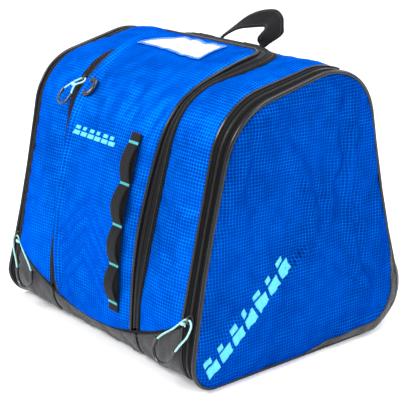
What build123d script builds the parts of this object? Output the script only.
from build123d import *
import math
import os

# Ski boot bag.  Millimetres.  +Z up, front towards -Y, right side towards +X,
# origin on the floor at the centre of the footprint.  The bag is a soft shell
# with two side boot bays, a centre bay under a front lid, two side doors,
# zippers, a haul handle and a backpack harness.

# ---- driving dimensions -------------------------------------------------
BAY_IN = 104.0          # divider wall, distance from the mid plane
BAY_OUT = 190.0         # outer seam of the bay wrap
TAPE_SPLIT = 200.0      # side zipper centre line
DOOR_IN = 206.4         # inner face of the side doors
PIPE_X = 212.0          # door piping centre line
PIPE_R = 3.2            # door piping half thickness
DOOR_OUT = 220.0        # crown of the side doors
FABRIC = 3.0            # laminated fabric with foam lining
GAP = 0.2               # clearance between stitched pieces
SEAM_Z = 42.0           # top of the coated base
BACK_SEAM_Y = 78.0      # seam between the bay wraps and the back panel
BACK_STANDOFF = 5.0     # bay wrap outside the door outline at the back
GUSSET = 19.0           # reach of the lid gusset beyond the lid edge
BOARD_T = 2.5           # plastic stiffener sheet
THROUGH = 700           # half length of cuts that pass right through the bag
LID_BLANK_X = 150       # half width of lid strips before they are trimmed

# ---- measured tables -----------------------------------------------------
# Side door corners: Y, Z, corner radius, steps along the arc.
# Front bottom, front top, back top, back bottom: clockwise seen from +X.
DOOR_CORNERS = [
    (-187.6, 2.0, 38.0, 7),
    (-111.5, 342.0, 88.0, 9),
    (102.0, 392.5, 86.0, 9),
    (202.0, 2.0, 62.0, 8),
]
FRONT_LOW, FRONT_HIGH = 7, 8    # outline stations at the ends of the straight front
BACK_HIGH, BACK_LOW = 27, 28    # outline stations at the ends of the straight back

# Lid profile (Y, Z), front bottom to back top.
LID = [
    (-176.0, 20.0), (-178.0, 48.0), (-176.5, 87.0), (-174.5, 121.0), (-171.0, 154.0),
    (-167.0, 180.0), (-161.0, 206.0), (-154.5, 231.0), (-148.0, 254.0), (-138.0, 284.0),
    (-127.0, 309.0), (-115.0, 326.0), (-103.0, 339.0), (-89.0, 349.5), (-75.0, 358.0),
    (-54.0, 368.0), (-31.0, 376.5), (-7.0, 383.0), (12.0, 387.0), (26.0, 389.0),
    (38.0, 388.5), (50.0, 386.0),
]

# Lid half width: u = Y + Z, half width.
LID_HALF_WIDTHS = [
    (-175.0, 83.5), (-53.0, 86.0), (45.0, 90.0), (106.0, 92.5), (182.0, 96.0),
    (237.0, 97.0), (283.0, 101.0), (314.0, 105.0), (345.0, 108.0), (375.0, 109.0),
]
LID_FRONT_U = -400.0    # outline start, well below the bag
LID_BACK_U = 410.0      # back edge of the lid
LID_CORNER = 17.0       # radius of the lid's back corners

os.makedirs("parts", exist_ok=True)


# ---- saving --------------------------------------------------------------
def save(name, part):
    part.label = name
    export_step(part, f"parts/{name}.step")


def save_pair(name, right):
    """Save a right-hand piece and its mirror image."""
    save(f"{name}_right", right)
    with BuildPart() as left:
        mirror(right, about=Plane.YZ)
    save(f"{name}_left", left.part)


# ---- outlines in (Y, Z) --------------------------------------------------
def arc_corner(before, corner, after, radius, steps):
    """Points of the tangent arc that rounds a corner."""
    ay, az = before[0] - corner[0], before[1] - corner[1]
    by, bz = after[0] - corner[0], after[1] - corner[1]
    a_len, b_len = math.hypot(ay, az), math.hypot(by, bz)
    ay, az, by, bz = ay / a_len, az / a_len, by / b_len, bz / b_len
    half = math.acos(max(-1, min(1, ay * by + az * bz))) / 2
    reach = radius / math.tan(half)
    start = (corner[0] + ay * reach, corner[1] + az * reach)
    end = (corner[0] + by * reach, corner[1] + bz * reach)
    mid_y, mid_z = ay + by, az + bz
    to_centre = radius / math.sin(half) / math.hypot(mid_y, mid_z)
    cy, cz = corner[0] + mid_y * to_centre, corner[1] + mid_z * to_centre
    angle = math.atan2(start[1] - cz, start[0] - cy)
    end_angle = math.atan2(end[1] - cz, end[0] - cy)
    turn = (end_angle - angle + math.pi) % (2 * math.pi) - math.pi
    return [(cy + radius * math.cos(angle + turn * i / steps),
             cz + radius * math.sin(angle + turn * i / steps)) for i in range(steps + 1)]


def door_points():
    """Closed side-door outline."""
    points = []
    for i, (y, z, radius, steps) in enumerate(DOOR_CORNERS):
        before = DOOR_CORNERS[i - 1][:2]
        after = DOOR_CORNERS[(i + 1) % len(DOOR_CORNERS)][:2]
        points += arc_corner(before, (y, z), after, radius, steps)
    return points


def shifted(points, distance, closed=True):
    """Offset a polyline to its left-hand (outer) side by a distance or a list."""
    count = len(points)
    result = []
    for i, (y, z) in enumerate(points):
        if closed:
            before, after = points[i - 1], points[(i + 1) % count]
        else:
            before, after = points[max(i - 1, 0)], points[min(i + 1, count - 1)]
        dy, dz = after[0] - before[0], after[1] - before[1]
        length = math.hypot(dy, dz)
        step = distance[i] if isinstance(distance, list) else distance
        result.append((y - dz / length * step, z + dy / length * step))
    return result


def ribbon(points, outer, inner):
    """Closed polygon between two offsets of an open polyline."""
    return shifted(points, outer, closed=False) + shifted(points, inner, closed=False)[::-1]


def bay_offset(y, z):
    """How far the bay wrap stands outside the door outline at one station."""
    front = 7.5 if z > 90 else max(-2.0, 7.5 - (90 - z) * 0.17)
    top = 4.0
    if y < -60:
        offset = front
    elif y < 20:
        blend = (y + 60) / 80.0
        offset = front * (1 - blend) + top * blend
    elif y < 110:
        offset = top
    else:
        offset = BACK_STANDOFF
    return min(offset, 0.0) if z < 20 else offset


DOOR = door_points()
BAY_RAW = shifted(DOOR, [bay_offset(y, z) for y, z in DOOR])
BAY = [(y, 1.0 if z < 4.6 else z) for y, z in BAY_RAW]   # underside laid flat


def band_points(x):
    """Side band outline between the bay wrap seam and the door piping."""
    blend = (x - BAY_OUT) / (PIPE_X - BAY_OUT)
    return [(b[0] + (d[0] - b[0]) * blend, b[1] + (d[1] - b[1]) * blend)
            for b, d in zip(BAY, DOOR)]


# ---- lid outline on a plane slanted back at 45 degrees ---------------------
ROOT2 = math.sqrt(2.0)
LID_PLANE = Plane(origin=(0, 0, 0), x_dir=(1, 0, 0), z_dir=(0, -1, 1))


def lid_width(u):
    if u <= LID_HALF_WIDTHS[0][0]:
        return LID_HALF_WIDTHS[0][1]
    for (u0, w0), (u1, w1) in zip(LID_HALF_WIDTHS, LID_HALF_WIDTHS[1:]):
        if u <= u1:
            return w0 + (w1 - w0) * (u - u0) / (u1 - u0)
    return LID_HALF_WIDTHS[-1][1]


def lid_outline(margin):
    """Lid outline on LID_PLANE, grown by a margin at the sides and back."""
    u_back = LID_BACK_U + margin * 1.1
    radius = max(LID_CORNER + margin, 2.0)
    stations = [LID_FRONT_U] + [u for u, _ in LID_HALF_WIDTHS if u < u_back - radius * ROOT2]
    right = [(lid_width(u) + margin, u / ROOT2) for u in stations]
    cx, cy = lid_width(u_back) + margin - radius, u_back / ROOT2 - radius
    right += [(cx + radius * math.cos(math.radians(degrees)),
               cy + radius * math.sin(math.radians(degrees))) for degrees in range(0, 91, 15)]
    left = [(-x, y) for x, y in reversed(right)]
    return right + left


# ---- shared modelling steps ------------------------------------------------
def yz_ring(outer, inner, amount, x_start=0.0, both=False):
    """Closed band between two (Y, Z) outlines, extruded along X."""
    with BuildPart() as ring:
        with BuildSketch(Plane.YZ.offset(x_start)):
            with BuildLine():
                Polyline(*outer, close=True)
            make_face()
            with BuildLine():
                Polyline(*inner, close=True)
            make_face(mode=Mode.SUBTRACT)
        extrude(amount=amount, both=both)
    return ring.part


def keep_above(z):
    split(bisect_by=Plane.XY.offset(z), keep=Keep.TOP)


def keep_below(z):
    split(bisect_by=Plane.XY.offset(z), keep=Keep.BOTTOM)


def keep_in_front(y):
    split(bisect_by=Plane.XZ.offset(-y), keep=Keep.TOP)


def keep_behind(y):
    split(bisect_by=Plane.XZ.offset(-y), keep=Keep.BOTTOM)


def end_edges(builder, axis):
    """Edges of the face that lies furthest along an axis."""
    return builder.faces().sort_by(axis)[-1].edges()


# ======================= coated base ======================================
BASE_PROUD = 1.0        # base surface outside the bay outline
DRAINS = [(x, y) for x in (-154, 154) for y in (-60, 70)]
DRAIN_HOLE_R = 5.2
BARREL_R = 5.0
BORE_R = 3.4
FLANGE_R = 8.5

base_ring = yz_ring(shifted(BAY, BASE_PROUD), shifted(BAY, BASE_PROUD - FABRIC),
                    amount=BAY_OUT + 13.5, both=True)
with BuildPart() as base_tub:
    add(base_ring)
    keep_below(SEAM_Z)
    with Locations(*DRAINS):
        Hole(radius=DRAIN_HOLE_R)
save("base_tub", base_tub.part)

# Stiffener sheet lying on the base floor.
with BuildPart() as base_board:
    with BuildSketch(Plane.XY.offset(3.2)):
        with Locations((0, -7)):
            RectangleRounded(360, 256, 22)
        with Locations(*DRAINS):
            Circle(DRAIN_HOLE_R, mode=Mode.SUBTRACT)
    extrude(amount=BOARD_T)
    chamfer(end_edges(base_board, Axis.Z), 0.6)
save("base_board", base_board.part)

# Four drainage eyelets, two under each boot: a barrel through base and board
# with a rolled flange on the inside.
with BuildPart() as drain_grommets:
    with BuildSketch(Plane.XY.offset(0.3)):
        with Locations(*DRAINS):
            Circle(BARREL_R)
            Circle(BORE_R, mode=Mode.SUBTRACT)
    extrude(amount=5.7)
    with BuildSketch(Plane.XY.offset(5.9)):
        with Locations(*DRAINS):
            Circle(FLANGE_R)
            Circle(BORE_R, mode=Mode.SUBTRACT)
    extrude(amount=1.2)
    fillet(drain_grommets.edges().filter_by(GeomType.CIRCLE).group_by(Axis.Z)[-1], 0.4)
save("drain_grommets", drain_grommets.part)

# ======================= boot bays =========================================
# Fabric round each boot bay, cut back to the edge of the lid gusset.
bay_ring = yz_ring(BAY, shifted(BAY, -FABRIC), amount=BAY_OUT)
with BuildPart() as bay_wrap:
    add(bay_ring)
    keep_above(SEAM_Z + GAP)
    keep_in_front(BACK_SEAM_Y)
    with BuildSketch(LID_PLANE):
        with BuildLine():
            Polyline(*lid_outline(GUSSET + GAP), close=True)
        make_face()
    extrude(amount=THROUGH, both=True, mode=Mode.SUBTRACT)
    split(bisect_by=Plane.YZ.offset(BAY_IN - 4), keep=Keep.TOP)
save_pair("bay_wrap", bay_wrap.part)

# Divider walls between the centre bay and the boot bays.
DIVIDER_T = 2.2
with BuildPart() as divider:
    with BuildSketch(Plane.YZ.offset(BAY_IN - GAP - DIVIDER_T)):
        with BuildLine():
            Polyline(*[(y, max(z, 6.0)) for y, z in shifted(BAY, -9.0)], close=True)
        make_face()
    extrude(amount=DIVIDER_T)
save_pair("divider", divider.part)

# ======================= back ==============================================
back_ring = yz_ring(BAY, shifted(BAY, -FABRIC), amount=BAY_OUT, both=True)
with BuildPart() as back_panel:
    add(back_ring)
    keep_above(SEAM_Z + GAP)
    keep_behind(BACK_SEAM_Y + GAP)
save("back_panel", back_panel.part)

# Straight part of the back wall, used to place everything that lies on it.
BACK_TOP, BACK_BOTTOM = DOOR[BACK_HIGH], DOOR[BACK_LOW]
BACK_LENGTH = math.dist(BACK_TOP, BACK_BOTTOM)
BACK_DY = (BACK_BOTTOM[0] - BACK_TOP[0]) / BACK_LENGTH
BACK_DZ = (BACK_BOTTOM[1] - BACK_TOP[1]) / BACK_LENGTH
BACK_NORMAL = (0, -BACK_DZ, BACK_DY)
BACK_AXIS = Axis((0, 0, 0), BACK_NORMAL)


def back_point(z, lift):
    """(Y, Z) standing lift outside the bay wrap, square off the back wall at height z."""
    y = BACK_TOP[0] + BACK_DY * (z - BACK_TOP[1]) / BACK_DZ
    distance = BACK_STANDOFF + lift
    return (y - BACK_DZ * distance, z + BACK_DY * distance)


def back_plane(z, lift, x=0.0):
    """Plane on the back wall: local x along -X, local y up the wall."""
    return Plane(origin=(x, *back_point(z, lift)), x_dir=(-1, 0, 0), z_dir=BACK_NORMAL)


with BuildPart() as back_board:
    with BuildSketch(back_plane(190.0, -FABRIC - 0.4)):
        RectangleRounded(196, 190, 20)
    extrude(amount=-BOARD_T)
save("back_board", back_board.part)

with BuildPart() as back_pad:
    with BuildSketch(back_plane(180.0, 0.2)):
        RectangleRounded(250, 200, 34)
    extrude(amount=9.0)
    chamfer(end_edges(back_pad, BACK_AXIS), 5.0)
save("back_pad", back_pad.part)

# ======================= top behind the lid ================================
# Section of the top panel (Y, Z): upper face backwards, lower face forwards.
REAR_TOP = [
    (30, 381.6), (52, 381.0), (66, 378.6), (77.8, 375.4),
    (77.8, 372.4), (66, 375.6), (52, 378.0), (30, 378.6),
]
with BuildPart() as rear_top_panel:
    with BuildSketch(Plane.YZ):
        with BuildLine():
            Polyline(*REAR_TOP, close=True)
        make_face()
    extrude(amount=BAY_IN - 4.3, both=True)
    with BuildSketch(LID_PLANE):
        with BuildLine():
            Polyline(*lid_outline(GUSSET + GAP), close=True)
        make_face()
    extrude(amount=THROUGH, both=True, mode=Mode.SUBTRACT)
save("rear_top_panel", rear_top_panel.part)

# ======================= lid, gusset and lid zipper ========================
# Name, outer and inner offset from the lid profile, outer and inner margin
# round the lid outline (None for a full sheet), height of the lower end.
LID_PIECES = [
    ("lid_gusset", -4.2, -6.2, GUSSET, 7.8, SEAM_Z + GAP),
    ("lid_zip_teeth_fixed", -2.6, -4.0, 9.4, 7.8, SEAM_Z + 6),
    ("lid_panel", 0.0, -FABRIC, 0, None, SEAM_Z + 1.2),
    ("lid_piping", 1.2, -2.4, 3.6, 0.2, SEAM_Z + 3),
    ("lid_zip_tape", -4.2, -5.4, 7.3, -6.0, SEAM_Z + 3),
    ("lid_zip_teeth", -2.6, -4.0, 7.3, 5.7, SEAM_Z + 6),
]


def lid_piece(outer, inner, outer_margin, inner_margin, z_low):
    """Sheet or edge band that follows the lid profile and the lid outline."""
    with BuildPart() as piece:
        with BuildSketch(Plane.YZ):
            with BuildLine():
                Polyline(*ribbon(LID, outer, inner), close=True)
            make_face()
        extrude(amount=LID_BLANK_X, both=True)
        with BuildSketch(LID_PLANE):
            with BuildLine():
                Polyline(*lid_outline(outer_margin), close=True)
            make_face()
        extrude(amount=THROUGH, both=True, mode=Mode.INTERSECT)
        if inner_margin is not None:
            with BuildSketch(LID_PLANE):
                with BuildLine():
                    Polyline(*lid_outline(inner_margin), close=True)
                make_face()
            extrude(amount=THROUGH, both=True, mode=Mode.SUBTRACT)
        keep_above(z_low)
    return piece.part


for name, *dimensions in LID_PIECES:
    save(name, lid_piece(*dimensions))

# ======================= name card on the lid ===============================
# A card under a clear film; outlines in (X, Y), seen from above.
CARD = [(-76, -30), (46, -36), (45, 4), (-46, 9)]
WINDOW = [(-83.0, -34.0), (51.0, -41.0), (50.0, 8.0), (-48.0, 13.0)]
LID_TOP = [point for point in LID if -60 < point[0] < 30]


def lid_layer(outline, outer, inner):
    """Thin layer over the top of the lid, trimmed to an outline."""
    with BuildPart() as layer:
        with BuildSketch(Plane.YZ):
            with BuildLine():
                Polyline(*ribbon(LID_TOP, outer, inner), close=True)
            make_face()
        extrude(amount=100, both=True)
        with BuildSketch(Plane.XY):
            with BuildLine():
                Polyline(*outline, close=True)
            make_face()
        extrude(amount=500, mode=Mode.INTERSECT)
    return layer.part


save("id_card", lid_layer(CARD, outer=0.7, inner=0.2))
save("id_window", lid_layer(WINDOW, outer=1.5, inner=0.9))

# ======================= daisy chain =======================================
# Webbing tacked down at five heights with loops between.
TACK_Z = [281.6, 231.0, 179.0, 127.5, 77.0]
DAISY_X = 47.5          # left edge of the webbing
DAISY_W = 20.0
DAISY_HALF_T = 0.8
DAISY_LIFT = 2.2        # webbing centre over the lid at a tack
LOOP_RISE = 9.0         # extra height in the middle of a loop
LOOP_STEPS = 8
DAISY_END = 8           # free webbing beyond the first and last tack
TACK_LIFT = 3.7         # bartack centre over the lid
TACK_HALF_T = 0.5
TACK_HALF_LENGTH = 1.7
TACK_INSET = 1.0        # bartack end inside the webbing edge


def lid_at(z, lift):
    """(Y, Z) point standing lift over the lid at height z, and the lid normal there."""
    (y0, z0), (y1, z1) = next((a, b) for a, b in zip(LID, LID[1:]) if a[1] <= z <= b[1])
    length = math.hypot(y1 - y0, z1 - z0)
    ny, nz = -(z1 - z0) / length, (y1 - y0) / length
    y = y0 + (y1 - y0) * (z - z0) / (z1 - z0)
    return (y + ny * lift, z + nz * lift), (ny, nz)


def daisy_path():
    """Webbing centre line, bottom to top."""
    heights = [TACK_Z[0] + DAISY_END] + TACK_Z + [TACK_Z[-1] - DAISY_END]
    points = []
    for i in range(len(heights) - 1):
        steps = LOOP_STEPS if 0 < i < len(heights) - 2 else 1
        for j in range(steps):
            z = heights[i] + (heights[i + 1] - heights[i]) * j / steps
            lift = DAISY_LIFT + LOOP_RISE * math.sin(math.pi * j / steps) ** 0.8
            points.append(lid_at(z, lift)[0])
    points.append(lid_at(heights[-1], DAISY_LIFT)[0])
    return points[::-1]


def tack_outline(tack_z):
    """Small rectangle square to the lid."""
    (y, z), (ny, nz) = lid_at(tack_z, TACK_LIFT)
    thick, along = TACK_HALF_T, TACK_HALF_LENGTH
    return [(y + ny * a - nz * b, z + nz * a + ny * b)
            for a, b in [(-thick, along), (thick, along), (thick, -along), (-thick, -along)]]


with BuildPart() as daisy_chain:
    with BuildSketch(Plane.YZ.offset(DAISY_X)):
        with BuildLine():
            Polyline(*ribbon(daisy_path(), DAISY_HALF_T, -DAISY_HALF_T), close=True)
        make_face()
    extrude(amount=DAISY_W)
save("daisy_chain", daisy_chain.part)

with BuildPart() as bartacks:
    with BuildSketch(Plane.YZ.offset(DAISY_X + TACK_INSET)):
        for tack_z in TACK_Z:
            with BuildLine():
                Polyline(*tack_outline(tack_z), close=True)
            make_face()
    extrude(amount=DAISY_W - 2 * TACK_INSET)
save("bartacks", bartacks.part)

# ======================= side doors ========================================
DOOR_RIM_T = 2.2        # flat rim that carries the piping
with BuildPart() as door_panel:
    with BuildSketch(Plane.YZ.offset(DOOR_IN)):
        with BuildLine():
            Polyline(*shifted(DOOR, -0.4), close=True)
        make_face()
    extrude(amount=DOOR_RIM_T)
    with BuildSketch(Plane.YZ.offset(DOOR_IN + DOOR_RIM_T)):
        with BuildLine():
            Polyline(*shifted(DOOR, -PIPE_R - 0.6), close=True)
        make_face()
    extrude(amount=DOOR_OUT - DOOR_IN - DOOR_RIM_T)
    chamfer(door_panel.faces().sort_by(Axis.X)[-1].edges(), length=8.5, length2=26.0)
save_pair("door_panel", door_panel.part)

piping_outer = [(y, max(z, 0.2)) for y, z in shifted(DOOR, PIPE_R - 0.4)]
piping_ring = yz_ring(piping_outer, shifted(DOOR, -PIPE_R - 0.2),
                      amount=2 * PIPE_R, x_start=PIPE_X - PIPE_R)
with BuildPart() as door_piping:
    add(piping_ring)
    chamfer(end_edges(door_piping, Axis.X), 1.2)
save_pair("door_piping", door_piping.part)

# ======================= side zippers ======================================
# The inner half of each zipper is sewn to the bay, the outer half to the door.
ZIP_BAND = band_points(TAPE_SPLIT)
TEETH_W = 1.7
# Name, X of the inner edge, width, outer and inner offset, height of the ends.
ZIP_STRIPS = [
    ("side_zip_tape", BAY_OUT + GAP, TAPE_SPLIT - BAY_OUT - 2 * GAP, -0.6, -2.6, SEAM_Z + GAP),
    ("door_zip_tape", TAPE_SPLIT + GAP, DOOR_IN - TAPE_SPLIT - 2 * GAP, -0.6, -2.6, SEAM_Z + GAP),
    ("side_zip_teeth", TAPE_SPLIT - GAP - TEETH_W, TEETH_W, 1.2, -0.4, SEAM_Z + 4),
    ("door_zip_teeth", TAPE_SPLIT + GAP, TEETH_W, 1.2, -0.4, SEAM_Z + 4),
]

for name, x_start, width, outer, inner, z_low in ZIP_STRIPS:
    strip_ring = yz_ring(shifted(ZIP_BAND, outer), shifted(ZIP_BAND, inner),
                         amount=width, x_start=x_start)
    with BuildPart() as strip:
        add(strip_ring)
        keep_above(z_low)
    save_pair(name, strip.part)

# ======================= sliders and pulls =================================
EYE_RISE = 4.7          # slider eye above the underside of the slider body
LUG_W = 2.2
# Lug on a slider: distance along the zipper, height above the body's underside.
LUG = [(-5, 2.2), (-5, 5.4), (-3, 7.4), (3, 7.4), (5, 5.4), (5, 2.2)]


def surface_plane(x, y, z, low, high):
    """Plane whose local y runs along the (Y, Z) segment low to high, facing out."""
    return Plane(origin=(x, y, z), x_dir=(1, 0, 0),
                 z_dir=(0, -(high[1] - low[1]), high[0] - low[0]))


def hang_point(plane, x, down, height):
    """Point at an X offset, a distance down the surface and a height off it."""
    origin, normal, up = plane.origin, plane.z_dir, plane.y_dir
    return (origin.X + x,
            origin.Y + normal.Y * height - up.Y * down,
            origin.Z + normal.Z * height - up.Z * down)


def hang_direction(plane, x, down):
    return (x, -plane.y_dir.Y * down, -plane.y_dir.Z * down)


def slider(plane, lift, width, length, corner, eye_radius):
    """Zipper slider body with an upright lug pierced by an eye."""
    lug = [hang_point(plane, 0, -along, lift + rise)[1:] for along, rise in LUG]
    eye = hang_point(plane, 0, 0, lift + EYE_RISE)[1:]
    lug_plane = Plane(origin=(plane.origin.X - LUG_W / 2, 0, 0), x_dir=(0, 1, 0), z_dir=(1, 0, 0))
    with BuildPart() as body:
        with BuildSketch(plane.offset(lift)):
            RectangleRounded(width, length, corner)
        extrude(amount=2.6)
        chamfer(end_edges(body, Axis(plane.origin, plane.z_dir)), 0.7)
        with BuildSketch(lug_plane):
            with BuildLine():
                Polyline(*lug, close=True)
            make_face()
            with Locations(eye):
                Circle(eye_radius, mode=Mode.SUBTRACT)
        extrude(amount=LUG_W)
    return body.part


def pull_cord(plane, right_leg, right_end, left_leg, left_end, radius):
    """Cord through a slider eye.

    Legs are (x, down, height) stations starting beside the eye; the ends are
    the (x, down) directions in which the legs finish.
    """
    right = [hang_point(plane, *station) for station in right_leg]
    left = [hang_point(plane, *station) for station in left_leg]
    right_dir = hang_direction(plane, *right_end)
    left_dir = hang_direction(plane, *left_end)
    with BuildPart() as cord:
        with BuildLine() as path:
            Line(left[0], right[0])
            Spline(*right, tangents=[(1, 0, 0), right_dir])
            Spline(*left, tangents=[(-1, 0, 0), left_dir])
        with BuildSketch(Plane(origin=left[-1], z_dir=left_dir)):
            Circle(radius)
        sweep(path=path.line)
    return cord.part


def pull_grip(plane, stations, start, end, radius):
    """U grip through (x, down, height) stations; start and end are directions."""
    points = [hang_point(plane, *station) for station in stations]
    start_dir = hang_direction(plane, *start)
    with BuildPart() as grip:
        with BuildLine() as path:
            Spline(*points, tangents=[start_dir, hang_direction(plane, *end)])
        with BuildSketch(Plane(origin=points[0], z_dir=start_dir)):
            Circle(radius)
        sweep(path=path.line)
    return grip.part


# ---- side sliders, low on the straight front --------------------------------
SIDE_SLIDER_Z = 95.0
SIDE_SLIDER_LIFT = 1.6
SIDE_EYE = SIDE_SLIDER_LIFT + EYE_RISE
front_low, front_high = ZIP_BAND[FRONT_LOW], ZIP_BAND[FRONT_HIGH]
front_fraction = (SIDE_SLIDER_Z - front_low[1]) / (front_high[1] - front_low[1])
side_slider_y = front_low[0] + (front_high[0] - front_low[0]) * front_fraction
SIDE_PLANE = surface_plane(TAPE_SPLIT, side_slider_y, SIDE_SLIDER_Z, front_low, front_high)

# Pull stations: x, distance down.  All lie at eye height.
SIDE_RIGHT_LEG = [(3.4, 0), (7.0, 6.4), (2.0, 22.5), (-16.0, 47.5)]
SIDE_LEFT_LEG = [(-3.4, 0), (-8.6, 3.0), (-24.0, 17.8), (-42.0, 31.2), (-53.0, 42.4)]
SIDE_GRIP = [(-53.2, 42.8), (-55.4, 53.7), (-48.0, 64.4), (-37.0, 67.4),
             (-25.0, 63.3), (-16.2, 48.0)]


def at_side_eye(stations):
    return [(x, down, SIDE_EYE) for x, down in stations]


save_pair("side_slider", slider(
    SIDE_PLANE, lift=SIDE_SLIDER_LIFT, width=8.6, length=13.0, corner=2.6, eye_radius=1.75))
save_pair("pull_cord", pull_cord(
    SIDE_PLANE, right_leg=at_side_eye(SIDE_RIGHT_LEG), right_end=(-0.35, 0.94),
    left_leg=at_side_eye(SIDE_LEFT_LEG), left_end=(-0.62, 0.78), radius=1.2))
save_pair("pull_grip", pull_grip(
    SIDE_PLANE, at_side_eye(SIDE_GRIP), start=(-0.62, 0.78), end=(0.35, -0.94), radius=2.3))

# ---- lid slider, on the left edge of the lid at the top bend -----------------
LID_SLIDER_STATION = 11     # the slider sits midway to the next LID station
LID_SLIDER_LIFT = 2.2
LID_EYE = LID_SLIDER_LIFT + EYE_RISE
lid_low, lid_high = LID[LID_SLIDER_STATION:LID_SLIDER_STATION + 2]
lid_mid = ((lid_low[0] + lid_high[0]) / 2, (lid_low[1] + lid_high[1]) / 2)
lid_slider_x = -(lid_width(sum(lid_mid)) + 3.2)
LID_SLIDER_PLANE = surface_plane(lid_slider_x, *lid_mid, lid_low, lid_high)

# Pull stations: x, distance down, height.
LID_RIGHT_LEG = [(3.2, 0, LID_EYE), (4.6, 6.0, 8.6), (-6.0, 14.0, 9.4), (-2.0, 30.0, 9.4)]
LID_LEFT_LEG = [(-3.2, 0, LID_EYE), (-6.0, 4.0, 8.8), (-15.0, 12.0, 9.4), (-25.0, 24.0, 9.4)]
LID_GRIP = [(-25.2, 24.4, 9.4), (-25.0, 36.0, 9.0), (-13.0, 44.0, 8.6),
            (-3.0, 39.0, 8.8), (-1.9, 30.4, 9.4)]

save("lid_slider", slider(
    LID_SLIDER_PLANE, lift=LID_SLIDER_LIFT, width=7.6, length=12.0, corner=2.4, eye_radius=1.85))
save("lid_pull_cord", pull_cord(
    LID_SLIDER_PLANE, right_leg=LID_RIGHT_LEG, right_end=(0.2, 1),
    left_leg=LID_LEFT_LEG, left_end=(-0.5, 1), radius=1.1))
save("lid_pull_grip", pull_grip(
    LID_SLIDER_PLANE, LID_GRIP, start=(-0.5, 1), end=(-0.2, -1), radius=1.9))

# Moulded ring lying on the lid beside the slider.
ring_plane = Plane(origin=hang_point(LID_SLIDER_PLANE, 16.6, 9.0, 4.4),
                   x_dir=(1, 0, 0), z_dir=LID_SLIDER_PLANE.z_dir)
with BuildPart() as lid_ring:
    with BuildSketch(ring_plane):
        Circle(9.0)
        Circle(4.2, mode=Mode.SUBTRACT)
    extrude(amount=2.2, both=True)
    fillet(lid_ring.edges().filter_by(GeomType.CIRCLE), 1.4)
save("lid_ring", lid_ring.part)

# ======================= haul handle =======================================
HANDLE_Y, HANDLE_Z = 79.0, 383.5
HANDLE_LEAN = math.radians(-33.0)   # leans towards the back
HANDLE_W = 25.0
HANDLE_HALF_T = 1.2
LEAN_SIN, LEAN_COS = math.sin(HANDLE_LEAN), math.cos(HANDLE_LEAN)
# Handle centre line: X, distance up the leaning plane.
ARCH = [
    (-42.0, 0.0), (-39.5, 4.0), (-33.0, 10.5), (-22.0, 19.0), (-10.0, 26.5), (3.0, 33.0),
    (16.0, 38.0), (30.0, 41.6), (42.0, 42.8), (51.0, 41.6), (58.5, 37.6), (63.5, 31.0),
    (65.5, 23.0), (64.0, 14.5), (59.5, 7.0), (54.0, 2.6), (52.0, 0.0),
]
# Side view that narrows the webbing at its ends: distance up, distance across.
HANDLE_TAPER = [(0, -2), (17, -12.6), (80, -12.6), (80, 12.6), (17, 12.6), (0, 2)]
taper_outline = [(HANDLE_Y - LEAN_SIN * up + LEAN_COS * across,
                  HANDLE_Z + LEAN_COS * up + LEAN_SIN * across) for up, across in HANDLE_TAPER]
handle_plane = Plane(origin=(0, HANDLE_Y, HANDLE_Z), x_dir=(1, 0, 0),
                     z_dir=(0, -LEAN_COS, -LEAN_SIN))

with BuildPart() as haul_handle:
    with BuildSketch(handle_plane):
        with BuildLine():
            Polyline(*ribbon(ARCH, HANDLE_HALF_T, -HANDLE_HALF_T), close=True)
        make_face()
    extrude(amount=HANDLE_W / 2, both=True)
    with BuildSketch(Plane.YZ):
        with BuildLine():
            Polyline(*taper_outline, close=True)
        make_face()
    extrude(amount=100, both=True, mode=Mode.INTERSECT)
save("haul_handle", haul_handle.part)

# Webbing tabs that hold the handle ends on the top panel.
with BuildPart() as handle_tabs:
    with BuildSketch(Plane.XY.offset(381.8)):
        with Locations((-43, 63.5), (52, 63.5)):
            RectangleRounded(28, 24, 2)
    extrude(amount=0.9)
save("handle_tabs", handle_tabs.part)

# ======================= backpack harness ==================================
STRAP_W = 62.0          # shoulder strap width
STRAP_X = 78.0          # shoulder strap offset from the mid plane
STRAP_T = 9.0
LADDER_W = 30.0         # ladder lock webbing width
STERNUM_Z = 232.0
BUCKLE_X = 15.5         # buckle half centre, distance from the mid plane

# Band across the upper back from which the straps hang.
yoke_ring = yz_ring(shifted(BAY, 3.4), shifted(BAY, 0.2), amount=116, both=True)
with BuildPart() as strap_yoke:
    add(yoke_ring)
    keep_above(303.0)
    keep_below(346.0)
    keep_behind(20.0)
save("strap_yoke", strap_yoke.part)

# Inner face of the strap: height on the back wall, lift off it.
STRAP_PATH = [
    (299.0, 1.2), (284.0, 12.5), (262.0, 19.0), (230.0, 24.0),
    (195.0, 25.0), (165.0, 22.0), (148.0, 18.0), (138.0, 15.5),
]
strap_inner = [back_point(z, lift) for z, lift in STRAP_PATH]
strap_outer = [back_point(z, lift + STRAP_T) for z, lift in STRAP_PATH]

with BuildPart() as shoulder_strap:
    with BuildSketch(Plane.YZ.offset(STRAP_X - STRAP_W / 2)):
        with BuildLine():
            Polyline(*(strap_inner + strap_outer[::-1]), close=True)
        make_face()
    extrude(amount=STRAP_W)
    chamfer(shoulder_strap.edges().filter_by(Axis.X).group_by(Axis.Z)[0], 2.0)
save_pair("shoulder_strap", shoulder_strap.part)

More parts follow.
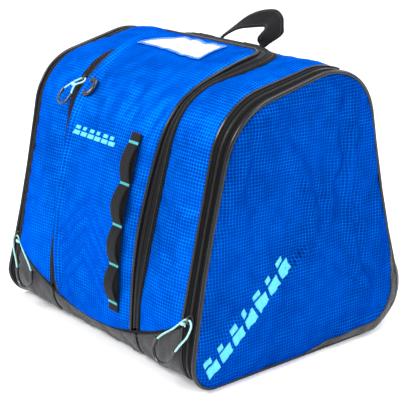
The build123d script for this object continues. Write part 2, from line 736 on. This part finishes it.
# Three-bar ladder lock below each strap.
with BuildPart() as ladder_lock:
    with BuildSketch(back_plane(122.0, 16.5, STRAP_X)):
        RectangleRounded(LADDER_W + 6, 24, 3)
        with Locations((0, 5), (0, -5)):
            RectangleRounded(LADDER_W - 4, 5, 1.2, mode=Mode.SUBTRACT)
    extrude(amount=4.0)
    chamfer(end_edges(ladder_lock, BACK_AXIS), 0.5)
save_pair("ladder_lock", ladder_lock.part)

# Lower webbing from the sides of the back in and up to the ladder locks.
tail_low = Vector(156.0, *back_point(94.0, 3.6))
tail_high = Vector(90.0, *back_point(109.5, 14.6))
tail_run = tail_high - tail_low
tail_plane = Plane(origin=tail_low, x_dir=Vector(*BACK_NORMAL).cross(tail_run), z_dir=tail_run)
with BuildPart() as strap_tail:
    with BuildSketch(tail_plane):
        Rectangle(24.0, 1.6)
    extrude(amount=tail_run.length)
save_pair("strap_tail", strap_tail.part)

# Four-sided reinforcement wings where the lower webbing is sewn to the back.
with BuildPart() as strap_anchors:
    with BuildSketch(back_plane(92.0, 1.0)):
        for side in (-1, 1):
            with BuildLine():
                Polyline((side * 184, -8), (side * 140, -8),
                         (side * 150, 24), (side * 184, 24), close=True)
            make_face()
    extrude(amount=1.0)
save("strap_anchors", strap_anchors.part)

# Sternum strap, unclipped: a webbing stub and one buckle half on each strap.
with BuildPart() as sternum_web:
    with BuildSketch(back_plane(STERNUM_Z, 33.4, 50.0)):
        Rectangle(46, 18)
    extrude(amount=1.4)
save_pair("sternum_web", sternum_web.part)

with BuildPart() as buckle_female:
    with BuildSketch(back_plane(STERNUM_Z, 31.4, BUCKLE_X)):
        RectangleRounded(21, 22, 3)
        with Locations((-7.5, 0)):
            RectangleRounded(2.6, 16, 1.0, mode=Mode.SUBTRACT)
    extrude(amount=6.0)
    chamfer(end_edges(buckle_female, BACK_AXIS), 0.8)
save("buckle_female", buckle_female.part)

# Webbing bar with a slot, and three prongs towards the female half.
with BuildPart() as buckle_male:
    with BuildSketch(back_plane(STERNUM_Z, 32.0, -BUCKLE_X)):
        with Locations((5.5, 0)):
            RectangleRounded(10, 21, 2.5)
        with Locations((-4.5, 7.4), (-4.5, 0), (-4.5, -7.4)):
            RectangleRounded(12, 2.6, 1.0)
        with Locations((7.5, 0)):
            RectangleRounded(2.6, 15, 1.0, mode=Mode.SUBTRACT)
    extrude(amount=4.6)
save("buckle_male", buckle_male.part)
